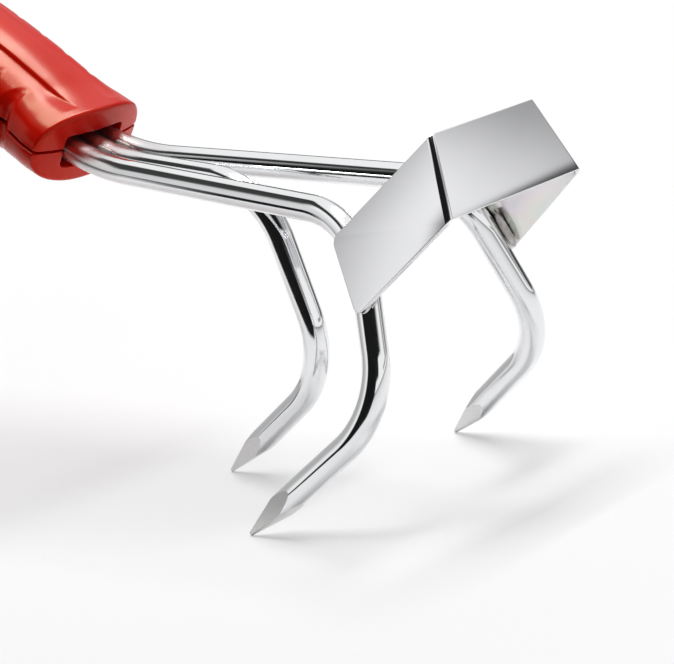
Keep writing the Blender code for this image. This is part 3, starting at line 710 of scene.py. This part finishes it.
# Slot to hang the tool by, and setback and y of the screws with the recesses for their heads
SLOT_MIDDLE = 0.1178
SLOT_RADIUS = 0.0045
SLOT_STRETCH = 0.0045
SCREWS = ((0.0098, 0.0137), (0.0098, -0.0137), (0.0913, 0.0))
RECESS_RADIUS = 0.0025
SEAT_DEPTH = 0.0058
CUT_REACH = 0.03


def blend(share, column):
    """Value of one column of the handle's sections at a share of its length."""
    k = 0
    while k < len(SECTIONS) - 2 and share >= SECTIONS[k + 1][0]:
        k += 1
    low, high = SECTIONS[k], SECTIONS[k + 1]
    before, after = SECTIONS[max(k - 1, 0)], SECTIONS[min(k + 2, len(SECTIONS) - 1)]
    span = high[0] - low[0]
    t = (share - low[0]) / span
    leave = (high[column] - before[column]) / (high[0] - before[0]) * span
    reach = (after[column] - low[column]) / (after[0] - low[0]) * span
    rise = high[column] - low[column]
    return low[column] + rise * t * t * (3 - 2 * t) + t * (1 - t) * ((1 - t) * leave - t * reach)


def smooth_step(low, high, value):
    """0 below low, 1 above high, and smooth between."""
    t = min(max((value - low) / (high - low), 0.0), 1.0)
    return t * t * (3 - 2 * t)


def scallop_dip(setback, height, crown):
    """Depth of the finger scallops at a place on the handle's side."""
    front = SCALLOP_FIRST - SCALLOP_PITCH / 2
    left = 1 - height / (crown * SCALLOP_APEX)
    if left <= 0:
        return 0.0
    place = (setback - front) / SCALLOP_PITCH - SCALLOP_LEAN * (1 - left)
    number = math.floor(place)
    if number < 0 or number >= SCALLOP_COUNT:
        return 0.0
    t = (place - number) / left ** SCALLOP_FLARE
    if t >= 1:
        return 0.0
    if t < SCALLOP_DEEPEST:
        profile = 1 - (1 - t / SCALLOP_DEEPEST) ** 2
    else:
        profile = 1 - ((t - SCALLOP_DEEPEST) / (1 - SCALLOP_DEEPEST)) ** 2
    return profile * (0.25 * smooth_step(0.0, 0.25, left) + 0.75 * smooth_step(0.25, 1.0, left))


def step_share(setback):
    """Share of the panel's step that lies ahead of a setback, below 0 or above 1 beyond its ends."""
    return (setback - STEP_START) / (STEP_END - STEP_START)


def step_spread(share):
    """Half spread of the step at a share of its length."""
    return STEP_SPREAD + (STEP_REAR_SPREAD - STEP_SPREAD) * share


def between(first, second, t):
    """Points at a share of the way from one row of pairs to another."""
    return [(p[0] + (q[0] - p[0]) * t, p[1] + (q[1] - p[1]) * t) for p, q in zip(first, second)]


class Outline:
    """Half of a handle shell, as rows of points from the mouth to the rear end."""

    def __init__(self, settings, upper):
        self.set = settings
        self.upper = upper
        self.sign = 1 if upper else -1
        self.counts = (4, 34, 10, 8)
        self.columns = 2 * sum(self.counts)

    def sizes(self, setback):
        """Half width and height of the half section at a setback, and the power that makes it square."""
        share = min(setback / self.set.length, 1.0)
        squareness = blend(share, 4) if self.upper else BOTTOM_SQUARENESS
        return blend(share, 1), blend(share, 2 if self.upper else 3), 2 / squareness

    def angles(self, setback=0.0):
        """Angles round the half section, closer together by the parting and by the panel's step."""
        wide, tall, power = self.sizes(setback)
        spread = step_spread(min(max(step_share(setback), 0.0), 1.0))
        reach = 1.6 * self.set.step_width
        keys = [0.0, math.asin((self.set.lip / tall) ** (1 / power))]
        keys += [math.acos(((spread + off) / wide) ** (1 / power)) for off in (reach, -reach)]
        keys.append(math.pi / 2)
        half = []
        for low, high, count in zip(keys, keys[1:], self.counts):
            half += [low + (high - low) * k / count for k in range(count)]
        return half + [math.pi / 2] + [math.pi - angle for angle in reversed(half)]

    def section(self, setback, inset=0.0, detail=True, shrink=1.0):
        """Points (y, z) of the half section at a setback."""
        full, crown, power = self.sizes(setback)
        wide = max(full * shrink - inset, 0.0)
        tall = max(crown * shrink - inset - self.set.gap / 2, 0.0)
        points = []
        for angle in self.angles(setback):
            c, s = math.cos(angle), max(math.sin(angle), 0.0)
            y = math.copysign(abs(c) ** power, c) * wide
            z = s ** power * tall
            if detail and shrink == 1.0:
                dip = self.set.scallop_depth * scallop_dip(setback, z, crown)
                y -= math.copysign(min(dip, abs(y)), y)
                if self.upper:
                    z -= self.step_drop(setback, y)
            points.append((y, z))
        return points

    def step_drop(self, setback, y):
        """Drop of the surface beside the top panel, which fades out down the side."""
        t = step_share(setback)
        if t < 0 or t > 1:
            return 0.0
        off = (abs(y) - step_spread(t)) / self.set.step_width
        ends = smooth_step(0.0, 0.12, t) ** 0.5 * (1 - smooth_step(0.95, 1.0, t))
        step = smooth_step(-0.5, 0.6, off) * (1 - smooth_step(0.6, STEP_RUN_OUT, off))
        return self.set.step_height * ends * step

    def parted(self, points, edge):
        """Section with a rounded lip and half the gap along the parting."""
        lip = self.set.lip
        result = []
        for y, z in points:
            tuck = 0.0
            if z < lip:
                tuck = lip - math.sqrt(max(lip * lip - (lip - z) ** 2, 0.0))
            y -= math.copysign(min(tuck, abs(y)), y) * edge
            result.append((y, PARTING + self.sign * (z + self.set.gap / 2)))
        return result

    def mouth(self, grow):
        """Points of half of the mouth's outline, grown outwards."""
        wide = MOUTH_HALF_WIDTH + grow
        tall = (MOUTH_TOP - PARTING if self.upper else MOUTH_BOTTOM + PARTING) + grow
        points = []
        for angle in self.angles():
            c, s = math.cos(angle), max(math.sin(angle), 0.0)
            reach = ((abs(c) / wide) ** MOUTH_POWER + (s / tall) ** MOUTH_POWER) ** (-1 / MOUTH_POWER)
            points.append((c * reach, PARTING + self.sign * (s * reach + self.set.gap / 2)))
        return points

    def lift(self, points, setback):
        """Points of the handle's axes from (y, z) pairs."""
        bulge = FRONT_BULGE * max(1 - setback / BULGE_RUN, 0.0)
        wide = SECTIONS[0][1]
        return [Vector((-setback - bulge * (y / wide) ** 2, y, z)) for y, z in points]

    def row(self, setback, **form):
        """Row of the outside at a setback, in the form that section() is told."""
        return self.lift(self.parted(self.section(setback, **form), 1.0), setback)

    def rows(self):
        """Rows of the outside, from inside the mouth to the rear end."""
        edge = self.set.edge
        rows = [self.lift(self.mouth(0.0), MOUTH_DEPTH)]
        for a in (0, 30, 60, 90):
            turn = math.radians(a)
            rows.append(self.lift(self.mouth(MOUTH_RIM * (1 - math.cos(turn))),
                                  MOUTH_RIM * (1 - math.sin(turn))))
        inner = self.mouth(MOUTH_RIM)
        outer = self.parted(self.section(0.0, edge, False), 0.0)
        rows += [self.lift(between(inner, outer, k / 14), 0.0) for k in range(1, 15)]
        for a in (12, 24, 36, 48, 60, 72, 82):
            turn = math.radians(a)
            inset = edge * (1 - math.sin(turn))
            rows.append(self.row(edge * (1 - math.cos(turn)), inset=inset, detail=False))
        last = self.set.length - REAR_ROUND
        count = 330
        rows += [self.row(edge + (last - edge) * k / count) for k in range(count + 1)]
        for a in range(6, 90, 6):
            turn = math.radians(a)
            rows.append(self.row(last + REAR_ROUND * math.sin(turn), shrink=math.cos(turn)))
        end = Vector((-self.set.length, 0.0, PARTING + self.sign * self.set.gap / 2))
        rows.append([end] * (self.columns + 1))
        return rows

    def inner_rows(self, count):
        """Rows of the hollow, as many as those of the outside."""
        wall = self.set.wall
        front = 19
        start = self.parted(self.section(FRONT_WALL, wall, False), 0.0)
        mouth = self.mouth(0.0)
        rows = [self.lift(between(mouth, start, k / front), FRONT_WALL) for k in range(front)]
        last = self.set.length - REAR_ROUND
        rest = count - front
        straight = 0.94
        for k in range(rest):
            t = k / (rest - 1)
            shrink = 1.0
            if t < straight:
                setback = FRONT_WALL + (last - FRONT_WALL) * t / straight
            else:
                turn = (t - straight) / (1 - straight) * math.pi / 2
                setback = last + (REAR_ROUND - wall) * math.sin(turn)
                shrink = math.cos(turn)
            wide, tall, _ = self.sizes(setback)
            across = (wide - wall) / wide * shrink
            down = (tall - wall) / tall * shrink
            points = [(y * across, PARTING + self.sign * (z * down + self.set.gap / 2))
                      for y, z in self.section(setback, 0.0, False)]
            rows.append(self.lift(points, setback))
        return rows


def grid_of(shape, rows):
    """Grid of faces laid over rows of points. Gives its vertices."""
    across, along = len(rows[0]) - 1, len(rows) - 1
    made = bmesh.ops.create_grid(shape, x_segments=along, y_segments=across, size=1.0)["verts"]
    for vert in made:
        i = round((vert.co.x + 1) / 2 * along)
        j = round((vert.co.y + 1) / 2 * across)
        vert.co = rows[i][j]
    return made


def shell_shape(outline):
    """Closed wall of half of the handle, in its own axes."""
    shape = bmesh.new()
    outside = outline.rows()
    first = grid_of(shape, outside)
    bmesh.ops.remove_doubles(shape, verts=first, dist=1e-7)
    second = grid_of(shape, outline.inner_rows(len(outside)))
    bmesh.ops.remove_doubles(shape, verts=[v for v in second if v.is_valid], dist=1e-7)
    border = [edge for edge in shape.edges if edge.is_boundary]
    bmesh.ops.bridge_loops(shape, edges=border)
    bmesh.ops.recalc_face_normals(shape, faces=shape.faces)
    return shape


def upright(name, radius, x, y, high, stretch=0.0):
    """Upright cylinder, or slot where it is stretched, in the handle's axes."""
    shape = bmesh.new()
    sides = 48
    low = -CUT_REACH
    turn = Matrix.Rotation(math.pi / sides, 4, "Z")
    bmesh.ops.create_cone(shape, cap_ends=True, segments=sides, radius1=radius, radius2=radius,
                          depth=high - low, matrix=turn)
    for vert in shape.verts:
        vert.co.x += math.copysign(stretch, vert.co.x)
    bmesh.ops.translate(shape, verts=shape.verts, vec=(x, y, (low + high) / 2))
    return loose_object(shape, name)


class MakeHandle(bpy.types.Operator):
    """Mould the two shells of the handle"""
    bl_idname = "cultivator.handle"
    bl_label = "Handle"

    def execute(self, context):
        handle = context.scene.cultivator_handle
        plastic = plastic_finish("red plastic", handle.colour)
        for name, upper in (("upper_shell", True), ("lower_shell", False)):
            half = loose_object(shell_shape(Outline(handle, upper)), "half")
            cutters = [upright("slot", SLOT_RADIUS, -SLOT_MIDDLE, 0.0, CUT_REACH, stretch=SLOT_STRETCH)]
            if not upper:
                cutters += [upright(f"recess_{k}", RECESS_RADIUS, -setback, y, PARTING - SEAT_DEPTH)
                            for k, (setback, y) in enumerate(SCREWS)]
            cut(half, cutters)
            shape = shape_of(half)
            bmesh.ops.transform(shape, verts=shape.verts, matrix=handle_frame())
            finish_piece(shape, f"{name}_moulding", plastic, "red_plastic", name,
                         smooth_angle=math.radians(38.0))
        return {"FINISHED"}


class FinishInside(bpy.types.Operator):
    """Give the screws and the plate inside the handle their finish"""
    bl_idname = "cultivator.inside"
    bl_label = "Screws and plate"

    def execute(self, context):
        zinc = zinc_finish("zinc plate", context.scene.cultivator_metals.zinc)
        for name in ("tie_plate", "screw_front_left", "screw_front_right", "screw_rear"):
            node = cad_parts[name]
            for slot in node.material_slots:
                slot.material = zinc
        return {"FINISHED"}


# Cards round the studio: headings from and to in degrees, sines of the heights from and to, softness of
# the sides in degrees and of the edges, and brightness
CARDS = (
    (150.0, 215.0, -0.10, 0.45, 17.0, 0.04, 0.48),
    (122.0, 149.0, 0.04, 0.42, 4.0, 0.04, 0.12),
    (57.0, 120.0, -0.02, 0.52, 9.0, 0.05, 0.40),
    (31.0, 46.0, 0.12, 0.52, 2.0, 0.05, 0.38),
    (50.0, 86.0, 0.03, 0.11, 5.0, 0.02, 0.06),
    (84.0, 118.0, -0.08, 0.01, 6.0, 0.02, 0.22),
    (8.0, 46.0, 0.06, 0.12, 3.0, 0.015, 0.30),
    (-6.0, 36.0, 0.38, 0.66, 6.0, 0.04, 0.42),
    (-124.0, -47.0, -0.40, 0.50, 4.0, 0.03, 0.010),
    (-56.0, -30.0, 0.16, 0.50, 4.0, 0.05, 0.016),
    (-119.0, 2.0, 0.42, 0.86, 10.0, 0.03, 0.012),
    (176.0, 245.0, 0.69, 0.87, 4.0, 0.02, 0.04),
    (172.0, 213.0, 0.45, 0.75, 6.0, 0.04, 0.05),
)

# Camera of the photograph
CAMERA_PLACE = (0.49021, -0.51328, 0.19146)
CAMERA_TURN = (77.147, 8.145, 37.782)
CAMERA_LENS = 139.807

# Overhead lamp
LAMP_PLACE = (-0.02, 0.27, 1.15)
LAMP_SIZE = (0.25, 1.12)

# Dark cloth on the floor: its heading, half its width and the softness of its sides, in degrees
CLOTH_HEADING = -96.0
CLOTH_REACH = 46.0
CLOTH_SOFT = 10.0

WHITE = (1.0, 1.0, 1.0, 1.0)


class SetStage(bpy.types.Operator):
    """Set up the camera, the floor and the light"""
    bl_idname = "cultivator.stage"
    bl_label = "Stage"

    def execute(self, context):
        stage = context.scene.cultivator_stage
        self.camera(context)
        self.floor(context, stage)
        self.world(context, stage)
        lamp = bpy.data.lights.new("overhead", "AREA")
        lamp.shape = "RECTANGLE"
        lamp.size, lamp.size_y = LAMP_SIZE
        lamp.energy = stage.lamp_power
        item = bpy.data.objects.new("overhead", lamp)
        item.location = LAMP_PLACE
        context.scene.collection.objects.link(item)
        context.scene.view_settings.view_transform = "Standard"
        return {"FINISHED"}

    def camera(self, context):
        """Camera at the photograph's place."""
        data = bpy.data.cameras.new("camera")
        data.lens = CAMERA_LENS
        data.sensor_width = 36.0
        data.clip_start = 0.01
        data.clip_end = 20.0
        item = bpy.data.objects.new("camera", data)
        item.location = CAMERA_PLACE
        item.rotation_euler = [math.radians(angle) for angle in CAMERA_TURN]
        context.scene.collection.objects.link(item)
        context.scene.camera = item

    def floor(self, context, stage):
        """Wide pale floor, with a dark cloth on it that only reflections show."""
        shape = bmesh.new()
        bmesh.ops.create_grid(shape, x_segments=2, y_segments=2, size=6.0)
        item = loose_object(shape, "floor")
        material, shop, place = new_finish("floor")
        grain = shop.noise(place, 300.0, 2.0)
        tone = shop.mix(grain, rgba(stage.floor, 0.99), rgba(stage.floor))
        matt = shop.node("ShaderNodeBsdfDiffuse", {}, {"Color": tone})
        white = shop.node("ShaderNodeEmission", {}, {"Color": WHITE, "Strength": 1.0})
        dark = shop.node("ShaderNodeEmission", {}, {"Color": WHITE, "Strength": stage.dark})
        away = shop.node("ShaderNodeVectorMath", {"operation": "LENGTH"}, {0: place}, out="Value")
        ray = shop.node("ShaderNodeLightPath", out="Is Camera Ray")
        seen = ray * (0.40 + 0.60 * away.smooth(0.14, 0.36))
        shader = shop.node("ShaderNodeMixShader", {}, {0: seen, 1: matt, 2: white})
        split = shop.split(place)
        heading = split.part("Y").math("ARCTAN2", split) * (180 / math.pi)
        off = (heading - CLOTH_HEADING).math("ABSOLUTE")
        cloth = (1 - off.smooth(CLOTH_REACH, CLOTH_REACH + CLOTH_SOFT)) * away.smooth(0.20, 0.27)
        shader = shop.node("ShaderNodeMixShader", {}, {0: (1 - ray) * cloth, 1: shader, 2: dark})
        end_finish(shop, shader)
        item.data.materials.append(material)

    def world(self, context, stage):
        """Soft white surroundings with a dark side, which only gloss and metal show."""
        world = bpy.data.worlds.new("studio")
        world.use_nodes = True
        context.scene.world = world
        shop = Shop(world.node_tree)
        place = shop.node("ShaderNodeTexCoord", out="Generated")
        split = shop.split(place)
        heading = split.part("Y").math("ARCTAN2", split) * (180 / math.pi)
        height = split.part("Z")
        level = stage.world
        for left, right, low, high, side, edge, shade in CARDS:
            off = ((heading + (540.0 - (left + right) / 2)).math("MODULO", 360.0) - 180.0).math("ABSOLUTE")
            reach = (right - left) / 2
            card = (1 - off.smooth(reach - side, reach + side)) * height.smooth(low - edge, low + edge)
            card = card * (1 - height.smooth(high - edge, high + edge))
            level = level * (1 - card) + card * shade
        ray = shop.node("ShaderNodeLightPath", out="Is Camera Ray")
        soft = 1 - ray.part("Is Diffuse Ray") * (1 - stage.fill)
        strength = ray + (1 - ray) * level * soft
        back = shop.node("ShaderNodeBackground", {}, {"Color": WHITE, "Strength": strength})
        output = shop.tree.nodes.new("ShaderNodeOutputWorld")
        shop.tree.links.new(back.out, output.inputs["Surface"])


class CultivatorPanel(bpy.types.Panel):
    """Lists the operators and their settings."""
    bl_idname = "VIEW3D_PT_cultivator"
    bl_label = "Garden cultivator"
    bl_space_type = "VIEW_3D"
    bl_region_type = "UI"
    bl_category = "Cultivator"

    def draw(self, context):
        for operator in OPERATORS:
            self.layout.operator(operator.bl_idname)
        for name in GROUPS:
            box = self.layout.box()
            group = getattr(context.scene, name)
            for prop in group.__annotations__:
                box.prop(group, prop)


OPERATORS = (MakeTines, MakeBlade, MakeWelds, MakeHandle, FinishInside, SetStage)
GROUPS = {
    "cultivator_bars": BarSettings,
    "cultivator_blade": BladeSettings,
    "cultivator_handle": HandleSettings,
    "cultivator_metals": MetalSettings,
    "cultivator_stage": StageSettings,
}


def register():
    """Add the classes and their settings."""
    for item in (*GROUPS.values(), *OPERATORS, CultivatorPanel):
        bpy.utils.register_class(item)
    for name, group in GROUPS.items():
        setattr(bpy.types.Scene, name, PointerProperty(type=group))


def unregister():
    """Remove the classes and their settings."""
    for name in GROUPS:
        delattr(bpy.types.Scene, name)
    for item in reversed((*GROUPS.values(), *OPERATORS, CultivatorPanel)):
        bpy.utils.unregister_class(item)


def main():
    """Build every piece and the stage."""
    register()
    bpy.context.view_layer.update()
    bpy.ops.cultivator.stage()
    bpy.ops.cultivator.tines()
    bpy.ops.cultivator.blade()
    bpy.ops.cultivator.welds()
    bpy.ops.cultivator.handle()
    bpy.ops.cultivator.inside()


if __name__ == "__main__":
    main()
